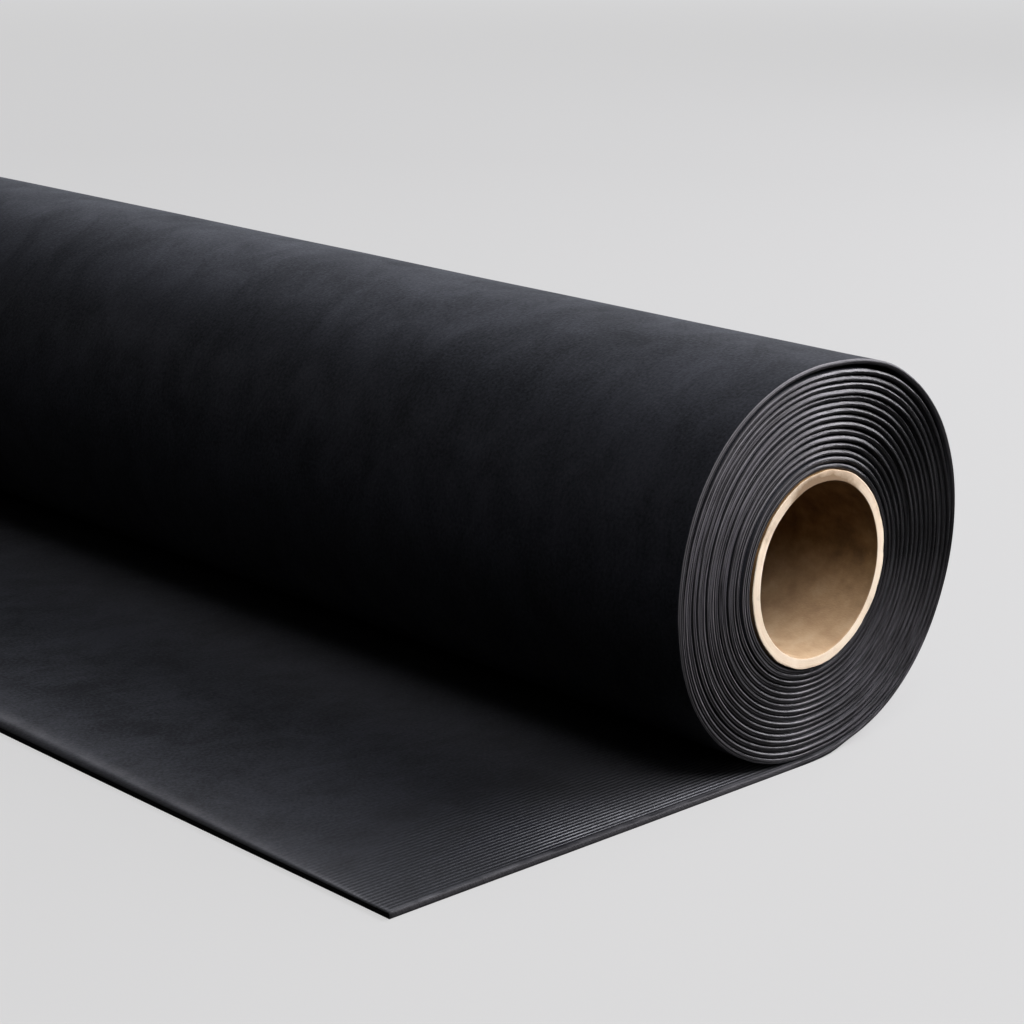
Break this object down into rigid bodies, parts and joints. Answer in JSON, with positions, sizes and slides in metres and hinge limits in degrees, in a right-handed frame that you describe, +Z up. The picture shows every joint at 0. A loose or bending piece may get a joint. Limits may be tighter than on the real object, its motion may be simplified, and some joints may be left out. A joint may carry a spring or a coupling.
{
  "type": "roll of rubber roofing membrane",
  "caption": "Roll of black rubber roofing sheet wound on a cardboard core, lying down with its loose end laid out flat.",
  "frame": {"origin": "on the floor, under the axis of the roll's core, halfway along the roll", "axes": "+X along the roll and its core, +Z up, and the loose end of the sheet laid out towards -Y"},
  "size_m": [1.203, 0.3357, 0.1752],
  "materials": {
    "rubber": "matte",
    "cardboard": "matte"
  },
  "bodies": {
    "root": {"membrane": "rubber", "core_tube": "cardboard"}
  },
  "joints": []
}
